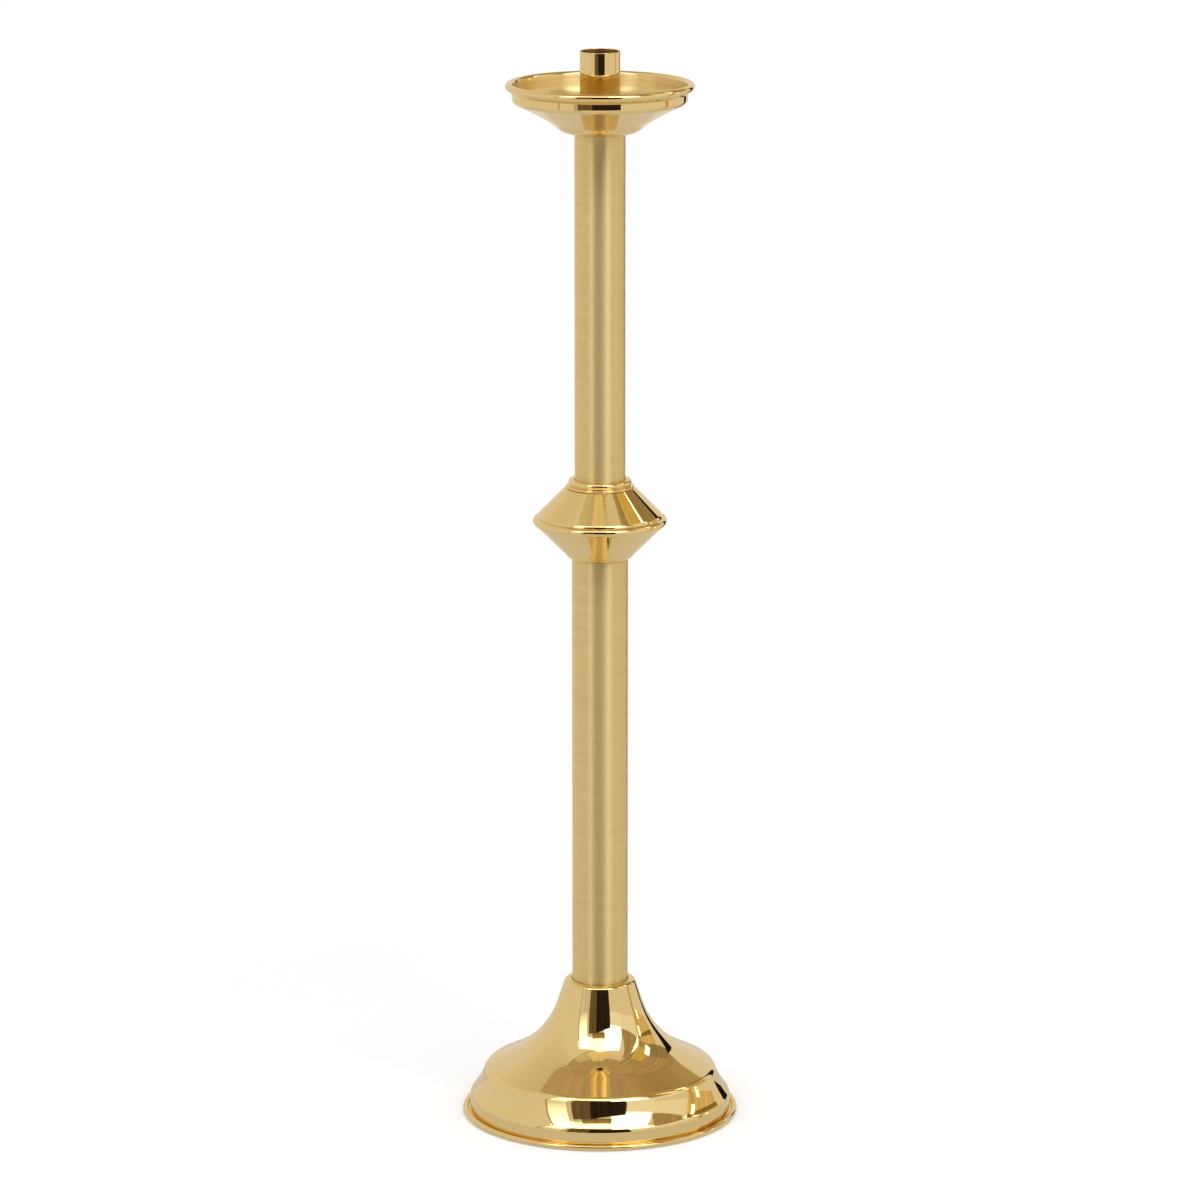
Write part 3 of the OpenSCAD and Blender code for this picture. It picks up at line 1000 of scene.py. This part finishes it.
@dataclass
class Knop:
    """The knop between the tubes: foot ring, two spun shells and the collar on top.

    The lower shell rolls over at its nose, and the shells meet on flat hems behind the seam.
    """

    edge: float = 0.4
    sheet: float = 1.2
    slip: float = 0.15
    foot_ring_edge: float = 2.2
    foot_ring_swell: float = 14.0
    nose_r: float = 4.2
    nose_start: float = -65.0
    nose_step: float = 0.3
    seam_setback: float = 4.3
    hem: float = 6.0
    hem_clear: float = 0.3
    hem_step: float = 0.2
    swell_r: float = 5.5
    swell_lean: float = 8.0
    flat_w: float = 9.8
    collar_gap: float = 0.4
    step_w: float = 8.8
    step_h: float = 2.8
    bead_d: float = 6.8
    bead_w: float = 6.3

    def __post_init__(self) -> None:
        """Reads the levels and radii of the frame."""
        self.lower_r = Extent.of("lower_tube").r
        self.upper_r = Extent.of("upper_tube").r
        self.ring = Extent.of("node_foot_ring")
        lower = Extent.of("node_lower_shell")
        self.seam = point(lower.r - self.seam_setback, lower.top)
        self.top = Extent.of("node_upper_shell").top

    def foot_ring(self) -> Path:
        """Draws the swelling ring under the knop.

        Returns:
            The section.
        """
        bore = self.lower_r + self.slip
        low = point(self.lower_r + self.foot_ring_edge, self.ring.bottom)
        high = point(self.ring.r, self.ring.top)
        face = arc_between(low, heading(high - low) - self.foot_ring_swell, high)
        return closed([point(bore, low.y), *face, point(bore, high.y)], self.edge)

    def lower_shell(self) -> Path:
        """Draws the lower cone, the rolled nose and its hem.

        Returns:
            The section.
        """
        nose = point(self.seam.x + self.seam_setback - self.nose_r, self.seam.y - self.nose_r)
        roll = arc(nose, self.nose_r, self.nose_start, 90)
        path = [
            point(self.lower_r + self.slip, self.ring.top), point(self.ring.r, self.ring.top),
            roll[0] - point(self.nose_step, 0), *roll, self.seam - point(self.hem, 0),
        ]
        return closed(sheet(path, self.sheet), self.edge)

    def upper_shell(self) -> Path:
        """Draws the upper cone, from its hem at the seam to the flat under the collar.

        Returns:
            The section.
        """
        corner = point(self.upper_r + self.flat_w, self.top)
        path = [
            *arc_towards(self.seam, 90 + self.swell_lean, self.swell_r, corner),
            corner, point(self.upper_r + self.collar_gap, self.top),
        ]
        hem = self.seam - point(self.hem, 0)
        hem_top = self.seam.y + self.sheet
        inside = [p for p in offset(path, self.sheet)[::-1] if p.y > hem_top + self.hem_clear]
        wall_foot = point(inside[-1].x + self.hem_step, hem_top)
        return closed([*path, *inside, wall_foot, point(hem.x, hem_top), hem], self.edge)

    def collar(self) -> Path:
        """Draws the collar: a step with a round edge, and a bead on it against the tube.

        Returns:
            The section.
        """
        bore = self.upper_r + self.collar_gap
        half = self.step_h / 2
        bead_r = self.bead_d / 2
        bead = point(self.upper_r + self.bead_w - bead_r, Extent.of("node_collar").top - bead_r)
        step_top = self.top + self.step_h
        meet = math.degrees(math.asin((step_top - bead.y) / bead_r))
        leave = math.degrees(math.acos((bore - bead.x) / bead_r))
        step = arc(point(self.upper_r + self.step_w - half, self.top + half), half, -90, 90)
        return closed([point(bore, self.top), *step, *arc(bead, bead_r, meet, leave)], self.edge)

    def build(self, shop: Shop) -> None:
        """Makes and dresses the knop's pieces.

        Args:
            shop: Tools and finishes.
        """
        finishes = shop.finishes
        for name, section, node in (
            ("knop_ring", self.foot_ring(), "node_foot_ring"),
            ("knop_lower", self.lower_shell(), "node_lower_shell"),
            ("knop_upper", self.upper_shell(), "node_upper_shell"),
            ("knop_collar", self.collar(), "node_collar"),
        ):
            settle(shop.turn(name, section, finishes.polished), Body.TORCH, Slot.POLISHED, node)
        dress("node_core", finishes.raw)


@dataclass
class Pan:
    """Drip pan with the candle socket on its base.

    The cone between crease and band is a little hollow: it leaves its chord by the sag, an angle.
    Inside, the wall comes down from the rim and meets the floor in a cove.
    """

    edge: float = 0.35
    sheet: float = 1.2
    hole_r: float = 5.15
    flat_r: float = 28.5
    bowl_r: float = 21.0
    bowl_turn: float = 44.0
    crease_r: float = 46.2
    sag: float = 5.0
    band_r: float = 87.3
    band_h: float = 9.3
    band_z: float = 31.0
    band_edge: float = 5.5
    wall_in: float = 3.0
    cove_r: float = 13.0
    rim_r: float = 3.8
    rim_z: float = 6.2
    candle_r: float = 19.05
    step: float = 0.5
    recess_r: float = 14.0
    recess_floor: float = 4.0

    def pan(self) -> tuple[Path, Vector]:
        """Draws the pan.

        Returns:
            The section, and the point where its inside begins.
        """
        whole = Extent.of("drip_pan")
        hole = point(self.hole_r, whole.bottom)
        middle = point(self.flat_r, whole.bottom + self.bowl_r)
        bowl = arc(middle, self.bowl_r, -90, self.bowl_turn - 90)
        climb = point(1, math.tan(math.radians(self.bowl_turn)))
        crease = bowl[-1] + (self.crease_r - bowl[-1].x) * climb
        band_foot = point(self.band_r, whole.bottom + self.band_z)
        band_end = band_foot + point(0, self.band_h)
        slope = heading(band_foot - crease) - self.sag
        edge = band_foot + self.band_edge * point(-1, math.tan(math.radians(90 - slope) / 2))
        cone = arc_between(band_foot, slope + 180, crease)[::-1]
        under = [p for p in cone if p.x < band_foot.x - self.band_edge]
        floor_end = band_foot - self.wall_in * point(1, math.tan(math.radians(slope)))
        floor = offset([hole, *bowl, *under, floor_end], self.sheet)[::-1]
        flat = next(i for i, p in enumerate(floor) if (p - floor[0]).length > self.cove_r)
        rim = point(whole.r - self.rim_r, band_end.y + self.rim_z)
        low, foot = band_end - rim, floor[0] - rim
        flare = heading(low) + math.degrees(math.acos(self.rim_r / low.length))
        rim_end = heading(foot) + 360 - math.degrees(math.acos(self.rim_r / foot.length))
        roll = arc(rim, self.rim_r, flare, rim_end)
        cove = soften([roll[-1], floor[0], floor[flat]], self.cove_r)[1:]
        turn_up = arc(edge, self.band_edge, slope - 90, 0)
        outline = [hole, *bowl, *under, *turn_up, band_end, *roll, *cove, *floor[flat + 1:]]
        return closed(outline, self.edge), roll[-1]

    def socket(self) -> tuple[Path, Vector]:
        """Draws the candle socket.

        Returns:
            The section, and the point where its inside begins.
        """
        tube = Extent.of("candle_socket")
        seat = Extent.of("socket_base").top
        half = (tube.r - self.candle_r) / 2
        lip = arc(point(tube.r - half, tube.top - half), half, 0, 180)
        foot_r = self.candle_r - self.step
        section = closed([
            point(foot_r, tube.bottom), point(tube.r, tube.bottom), *lip,
            point(self.candle_r, seat), point(foot_r, seat),
        ], self.edge)
        return section, lip[-1]

    def base(self) -> Path:
        """Draws the socket's base, with its recess for the nut.

        Returns:
            The section.
        """
        base = Extent.of("socket_base")
        shelf = base.bottom + self.recess_floor
        return closed([
            point(self.hole_r, base.bottom), point(base.r, base.bottom), point(base.r, base.top),
            point(self.recess_r, base.top), point(self.recess_r, shelf), point(self.hole_r, shelf),
        ], self.edge)

    def build(self, shop: Shop) -> None:
        """Makes and dresses the pan, the socket and its base.

        Args:
            shop: Tools and finishes.
        """
        finishes = shop.finishes
        section, inside = self.pan()
        pan = shop.turn("wax_pan", section, finishes.polished, finishes.turned, inside)
        settle(pan, Body.TORCH, Slot.POLISHED, "drip_pan")
        section, inside = self.socket()
        socket = shop.turn("socket_tube", section, finishes.polished, finishes.raw, inside)
        settle(socket, Body.TORCH, Slot.POLISHED, "candle_socket")
        base = shop.turn("socket_foot", self.base(), finishes.turned)
        settle(base, Body.TORCH, Slot.TURNED, "socket_base")


@dataclass
class TieRod:
    """The rod that draws the torch together, with the nut and the washer at each end."""

    core_r: float = 4.2
    ridge: float = 0.55
    pitch: float = 1.5
    turns: int = 24
    chamfer: float = 0.8
    hole_r: float = 5.15
    bore_r: float = 5.1
    face_share: float = 0.95
    chamfer_deg: float = 30.0
    columns: int = 72
    washer_edge: float = 0.3

    def threaded(self) -> float:
        """Gives the length of a threaded end, with one pitch clear on both sides of the ridge."""
        return self.pitch * (self.turns + 2)

    def rod(self) -> Path:
        """Draws the rod, thinner where it is threaded.

        Returns:
            The section.
        """
        rod = Extent.of("tie_rod")
        cut = self.chamfer
        core = self.core_r
        low = rod.bottom + self.threaded()
        high = rod.top - self.threaded()
        return [
            point(0, rod.bottom), point(core - cut, rod.bottom), point(core, rod.bottom + cut),
            point(core, low), point(rod.r, low + cut), point(rod.r, high - cut), point(core, high),
            point(core, rod.top - cut), point(core - cut, rod.top), point(0, rod.top),
        ]

    def nut(self) -> Object:
        """Makes the nut at the foot: a hexagon whose corners are cut by a cone at both faces.

        Returns:
            The nut.
        """
        nut = Extent.of("foot_nut")
        side = math.tau / 6
        half_flat = nut.r * math.cos(side / 2)
        face_r = half_flat * self.face_share
        vertices = []
        for i in range(self.columns):
            angle = math.tau * i / self.columns
            corner_r = half_flat / math.cos(angle % side - side / 2)
            drop = (corner_r - face_r) * math.tan(math.radians(self.chamfer_deg))
            for r, z in (
                (self.bore_r, nut.bottom), (face_r, nut.bottom), (corner_r, nut.bottom + drop),
                (corner_r, nut.top - drop), (face_r, nut.top), (self.bore_r, nut.top),
            ):
                vertices.append(Vector((r * math.cos(angle), r * math.sin(angle), z)) * MM)
        rows = len(vertices) // self.columns
        faces = [
            (a * rows + k, b * rows + k, b * rows + (k + 1) % rows, a * rows + (k + 1) % rows)
            for a, b in ((i, (i + 1) % self.columns) for i in range(self.columns))
            for k in range(rows)
        ]
        return piece_from("rod_nuts", vertices, [], faces)

    def build(self, shop: Shop) -> None:
        """Makes and dresses the rod and its fasteners.

        Args:
            shop: Tools and finishes.
        """
        steel = shop.finishes.steel
        rod = Extent.of("tie_rod")
        piece = shop.thread.run(shop.turn("screwed_rod", self.rod(), steel), {
            "Radius": (rod.r - self.ridge) * MM, "Ridge": self.ridge * MM, "Pitch": self.pitch * MM,
            "Turns": float(self.turns), "Bottom": (rod.bottom + self.pitch) * MM,
            "Rise": (rod.top - rod.bottom - self.threaded()) * MM, "Finish": steel,
        })
        settle(piece, Body.TORCH, Slot.STEEL, "tie_rod")
        rise = (Extent.of("socket_nut").bottom - Extent.of("foot_nut").bottom) * MM
        nuts = shop.pair.run(self.nut(), {"Rise": rise, "Finish": steel})
        settle(nuts, Body.TORCH, Slot.STEEL, "foot_nut", "socket_nut")
        washer = Extent.of("foot_washer")
        rise = (Extent.of("socket_washer").bottom - washer.bottom) * MM
        section = block(self.hole_r, washer.r, washer.bottom, washer.top, self.washer_edge)
        rings = shop.pair.run(shop.turn("rod_washers", section, steel), {"Rise": rise, "Finish": steel})
        settle(rings, Body.TORCH, Slot.STEEL, "foot_washer", "socket_washer")


def mirror_only(piece: Object) -> None:
    """Lets a piece be seen in mirrors and nowhere else."""
    for ray in ("camera", "diffuse", "shadow", "transmission"):
        setattr(piece, f"visible_{ray}", False)


def direction(azimuth: float, elevation: float) -> Vector:
    """Gives the unit vector at an azimuth from the camera's side to the right, and an elevation."""
    turn, lift = math.radians(azimuth), math.radians(elevation)
    return Vector((math.cos(lift) * math.sin(turn), -math.cos(lift) * math.cos(turn), math.sin(lift)))


def between(ends: tuple[float, float], share: float) -> float:
    """Gives the value at a share of the way from one end to the other."""
    return ends[0] + (ends[1] - ends[0]) * share


@dataclass(frozen=True)
class Card:
    """A glowing patch in place of the cloth tent, seen only in mirrors: its colour and strength paint the
    cloth's light and shade.

    Azimuths go from the camera's side, 0, to the right, 90. Elevations go up from level, at the
    tent's middle, and are given for both ends of the lower and of the upper edge. The folds are the
    share by which the glow swings as painted light and shade of cloth folds, and low_strength is the
    strength at the lower edge.
    """

    name: str
    color: str
    strength: float
    azimuth: tuple[float, float]
    low: tuple[float, float]
    high: tuple[float, float]
    folds: float = 0.0
    low_strength: float | None = None

    def tone(self) -> Material:
        """Makes the patch's glow, which may fade downwards and show upright folds of cloth, both as painted
        light and shade.

        Returns:
            The material.
        """
        material, tree = blank(self.name)
        material.cycles.emission_sampling = "NONE"
        rise = add(tree, "ShaderNodeAttribute", attribute_name=RISE)
        low = self.strength if self.low_strength is None else self.low_strength
        level = add(tree, "ShaderNodeMapRange",
                    {"Value": rise.outputs["Fac"], "To Min": low, "To Max": self.strength})
        coords = add(tree, "ShaderNodeTexCoord")
        parts = add(tree, "ShaderNodeSeparateXYZ", {0: coords.outputs["Object"]})
        turn = add(tree, "ShaderNodeMath", {0: parts.outputs["X"], 1: parts.outputs["Y"]},
                   operation="ARCTAN2")
        fold = add(tree, "ShaderNodeTexNoise", {"W": turn, "Scale": FOLDS, "Detail": 2.0},
                   noise_dimensions="1D")
        swing = add(tree, "ShaderNodeMapRange", {
            "Value": fold, "From Min": FOLD_NOISE[0], "From Max": FOLD_NOISE[1],
            "To Min": 1 - self.folds, "To Max": 1 + self.folds,
        })
        power = add(tree, "ShaderNodeMath", {0: level, 1: swing}, operation="MULTIPLY")
        glow = add(tree, "ShaderNodeEmission", {"Color": linear(self.color), "Strength": power})
        add(tree, "ShaderNodeOutputMaterial", {"Surface": glow})
        return material

    def build(self, radius: float, middle: Vector) -> Object:
        """Makes the patch on a sphere.

        Args:
            radius: Radius of the sphere in metres.
            middle: Centre of the sphere.

        Returns:
            The patch, seen only in mirrors.
        """
        columns = math.ceil((self.azimuth[1] - self.azimuth[0]) / CARD_STEP)
        rows = math.ceil((max(self.high) - min(self.low)) / CARD_STEP)
        vertices = []
        for i in range(columns + 1):
            turn, low, high = (between(ends, i / columns) for ends in (self.azimuth, self.low, self.high))
            for j in range(rows + 1):
                vertices.append(middle + radius * direction(turn, between((low, high), j / rows)))
        faces = []
        for i in range(columns):
            for j in range(rows):
                a = i * (rows + 1) + j
                faces.append((a, a + rows + 1, a + rows + 2, a + 1))
        card = piece_from(self.name, vertices, [], faces)
        rises = [j / rows for j in range(rows + 1)] * (columns + 1)
        card.data.attributes.new(RISE, "FLOAT", "POINT").data.foreach_set("value", rises)
        card.data.materials.append(self.tone())
        mirror_only(card)
        return card


@dataclass(frozen=True)
class Lamp:
    """A soft box that lights floor and object and isn't mirrored itself."""

    name: str
    azimuth: float
    elevation: float
    distance: float
    size: float
    power: float

    def build(self, middle: Vector) -> None:
        """Hangs the lamp.

        Args:
            middle: Point of the object that it is aimed at.
        """
        light = bpy.data.lights.new(self.name, "AREA")
        light.energy = self.power
        light.size = self.size
        way = direction(self.azimuth, self.elevation)
        lamp = show(self.name, light)
        lamp.location = middle + self.distance * way
        lamp.rotation_euler = way.to_track_quat("Z", "Y").to_euler()
        lamp.visible_glossy = False


@dataclass
class Studio:
    """White studio with a cloth tent round the object, the tent given as glowing cards seen only in
    mirrors.

    The cards go from the farthest to the nearest: each lies in front of those before it.
    """

    tent_r: float = 12.0
    card_step: float = 0.04
    middle_z: float = 0.55
    floor_r: float = 0.9
    floor_core: float = 0.5
    floor_color: str = "#F8F8F8"
    floor_roughness: float = 0.9
    table_color: str = "#D7D2CB"
    table_drop: float = 0.001
    back_color: str = "#FFFFFF"
    fill: float = 0.9
    camera_place: tuple[float, float, float] = (0.0, -5.5156, 1.8031)
    camera_tilt: float = 12.93
    lens: float = 168.45
    sensor: float = 36.0
    cards: tuple[Card, ...] = (
        Card("tent", "#E6E0D7", 1.0, (-180, 180), (-90, -90), (90, 90)),
        Card("ground", "#D7D2CB", 1.0, (-180, 180), (-90, -90), (-26, -26)),
        Card("left_shade_a", "#CBC2B0", 1.0, (-168, -132), (28, 28), (66, 66), 0.0, 1.35),
        Card("left_shade_b", "#CBC2B0", 1.08, (-132, -114), (28, 28), (66, 66), 0.0, 1.35),
        Card("left_shade_c", "#CBC2B0", 1.17, (-114, -100), (28, 28), (66, 66), 0.0, 1.35),
        Card("left_shade_d", "#CBC2B0", 1.26, (-100, -88), (28, 28), (66, 66), 0.0, 1.35),
        Card("ceiling", "#BBA684", 0.95, (-180, 180), (65, 65), (90, 90), 0.25),
        Card("left_back", "#BFAA88", 1.0, (-168, -150), (44, 53), (68, 68), 0.15),
        Card("left_slope", "#BFAA88", 1.0, (-150, -112), (53, 64), (68, 68), 0.15),
        Card("ceiling_left", "#D8CDA9", 0.85, (-84, -38), (65, 66), (74, 76), 0.1, 1.05),
        Card("ceiling_mid", "#E0CFA4", 1.05, (-38, 20), (66, 66), (80, 80), 0.1, 1.25),
        Card("ceiling_right", "#E3DAC6", 0.95, (20, 78), (65, 63), (77, 72), 0.1, 1.05),
        Card("back_cloth", "#B29C76", 1.0, (168, 192), (34, 36), (68, 68), 0.15),
        Card("right_corner", "#AD9874", 1.0, (55, 72), (33, 33), (36, 64), 0.15),
        Card("right_cloth", "#AD9874", 1.0, (72, 90), (33, 34), (66, 66), 0.15),
        Card("right_back", "#B29C76", 1.0, (90, 135), (36, 28), (66, 66), 0.2),
        Card("far_back", "#B29C76", 1.0, (135, 168), (22, 34), (68, 68), 0.2),
        Card("right_lens", "#F2EEE8", 1.05, (56, 93), (18, 14), (33, 32)),
        Card("gold_folds", "#DCC48E", 1.0, (94, 131), (8, 4), (37, 30), 0.35),
        Card("gold_strip", "#C4A053", 1.0, (95, 100), (-40, -40), (8, 8)),
        Card("gold_top", "#D5B970", 1.0, (92, 113), (42, 42), (62, 56), 0.1),
        Card("gold_shade", "#8E7440", 1.0, (95, 131), (32, 12), (35, 16)),
        Card("olive_cloth", "#9A8768", 1.0, (117, 142), (31, 21), (46, 33), 0.2),
        Card("right_gap", "#1E150D", 1.0, (142, 152), (-30, -30), (27, 13)),
        Card("right_slit", "#FFFFFF", 2.4, (86, 95), (48, 31), (57, 42)),
        Card("right_spot", "#FFFFFF", 3.0, (109, 117), (36, 36), (46, 46)),
        Card("high_glint", "#FFFFFF", 2.4, (99, 103), (20, 20), (31, 30)),
        Card("low_glint", "#FFFFFF", 2.4, (106, 110), (5, 5), (12, 12)),
        Card("top_left", "#FFFFFF", 2.4, (-58, 0), (48, 48), (58, 68)),
        Card("top_right", "#FFFFFF", 2.4, (0, 54), (48, 48), (68, 61)),
        Card("left_panel", "#FFFFFF", 3.4, (-56, -30), (14, 14), (58, 60), 0.0, 0.6),
        Card("left_seam", "#B7A274", 1.0, (-56, -54), (-20, -20), (58, 58)),
        Card("right_panel", "#FFFFFF", 3.2, (12, 55), (31, 31), (66, 61)),
        Card("right_foot", "#FFFFFF", 0.95, (26, 56), (16, 16), (32, 32)),
        Card("left_curtain", "#DCD3C2", 1.0, (-34, -24), (-22, -22), (46, 46), 0.2, 0.6),
        Card("opening_head", "#B79F74", 1.0, (-20, 13), (42, 42), (50, 50), 0.2, 0.4),
        Card("opening_side", "#6B5B47", 1.0, (-29, -8), (-11, -11), (43, 43), 0.3),
        Card("opening", "#2A241F", 1.0, (-10, 27), (-11, -11), (43, 36), 0.2),
    )
    lamps: tuple[Lamp, ...] = (
        Lamp("key_box", azimuth=38.0, elevation=55.0, distance=3.2, size=1.6, power=30.0),
        Lamp("fill_box", azimuth=-50.0, elevation=40.0, distance=3.2, size=1.6, power=12.0),
    )

    def world(self) -> None:
        """Makes the white surroundings: full white to the eye, a little less as light."""
        world = bpy.data.worlds.new("studio")
        world.use_nodes = True
        tree = world.node_tree
        tree.nodes.clear()
        path = add(tree, "ShaderNodeLightPath")
        seen = path.outputs["Is Camera Ray"]
        for kind in ("Is Glossy Ray", "Is Transmission Ray"):
            both = add(tree, "ShaderNodeMath", {0: seen, 1: path.outputs[kind]},
                       operation="ADD", use_clamp=True)
            seen = both.outputs[0]
        level = add(tree, "ShaderNodeMapRange", {"Value": seen, "To Min": self.fill, "To Max": 1.0})
        back = add(tree, "ShaderNodeBackground", {"Color": linear(self.back_color), "Strength": level})
        add(tree, "ShaderNodeOutputWorld", {"Surface": back})
        bpy.context.scene.world = world

    def floor(self) -> None:
        """Makes the pale floor, which fades into the white round it."""
        material, tree = blank("pale_floor")
        coords = add(tree, "ShaderNodeTexCoord")
        length = add(tree, "ShaderNodeVectorMath", {0: coords.outputs["Object"]}, operation="LENGTH")
        fade = add(tree, "ShaderNodeMapRange", {
            "Value": length.outputs["Value"], "From Min": self.floor_core, "From Max": self.floor_r,
        }, interpolation_type="SMOOTHSTEP")
        pale = add(tree, "ShaderNodeBsdfPrincipled", {
            "Base Color": linear(self.floor_color), "Roughness": self.floor_roughness,
            "Specular IOR Level": 0.0,
        })
        clear = add(tree, "ShaderNodeBsdfTransparent")
        mix = add(tree, "ShaderNodeMixShader", {0: fade, 1: pale, 2: clear})
        add(tree, "ShaderNodeOutputMaterial", {"Surface": mix})
        ground = self.disc("floor", 0.0, material)
        ground.visible_glossy = False

    def table(self) -> None:
        """Makes a glowing pale disc under the object that only its mirrors see: painted light in place of
        the lit floor, without its shadow.
        """
        material, tree = blank("mirrored_floor_glow")
        material.cycles.emission_sampling = "NONE"
        glow = add(tree, "ShaderNodeEmission", {"Color": linear(self.table_color), "Strength": 1.0})
        add(tree, "ShaderNodeOutputMaterial", {"Surface": glow})
        cloth = self.disc("table", -self.table_drop, material)
        mirror_only(cloth)

    def disc(self, name: str, z: float, material: Material) -> Object:
        """Makes a level disc of the floor's size round the object's axis.

        Args:
            name: Name of the disc.
            z: Height of the disc.
            material: Its material.

        Returns:
            The disc.
        """
        turns = [math.tau * i / SEGMENTS for i in range(SEGMENTS)]
        rim = [self.floor_r * Vector((math.cos(turn), math.sin(turn), 0)) for turn in turns]
        disc = piece_from(name, [p + Vector((0, 0, z)) for p in rim], [], [tuple(range(SEGMENTS))])
        disc.data.materials.append(material)
        return disc

    def camera(self) -> None:
        """Sets the camera up where the photo was taken from."""
        data = bpy.data.cameras.new("camera")
        data.lens = self.lens
        data.sensor_width = self.sensor
        camera = show("camera", data)
        camera.location = self.camera_place
        camera.rotation_euler = (math.radians(90 - self.camera_tilt), 0, 0)
        bpy.context.scene.camera = camera

    def build(self) -> None:
        """Sets the studio up."""
        middle = Vector((0, 0, self.middle_z))
        self.world()
        self.floor()
        self.table()
        for n, card in enumerate(self.cards):
            card.build(self.tent_r - self.card_step * n, middle)
        for lamp in self.lamps:
            lamp.build(middle)
        self.camera()
        bpy.context.scene.view_settings.view_transform = "Standard"


def main() -> None:
    """Builds the object's sub-assemblies, which log their face counts, then the studio."""
    logging.basicConfig(level=logging.INFO, format="%(name)s: %(message)s")
    shop = Shop()
    for assembly in (Stand(), Staff(), Knop(), Pan(), TieRod()):
        assembly.build(shop)
    Studio().build()


if __name__ == "__main__":
    main()
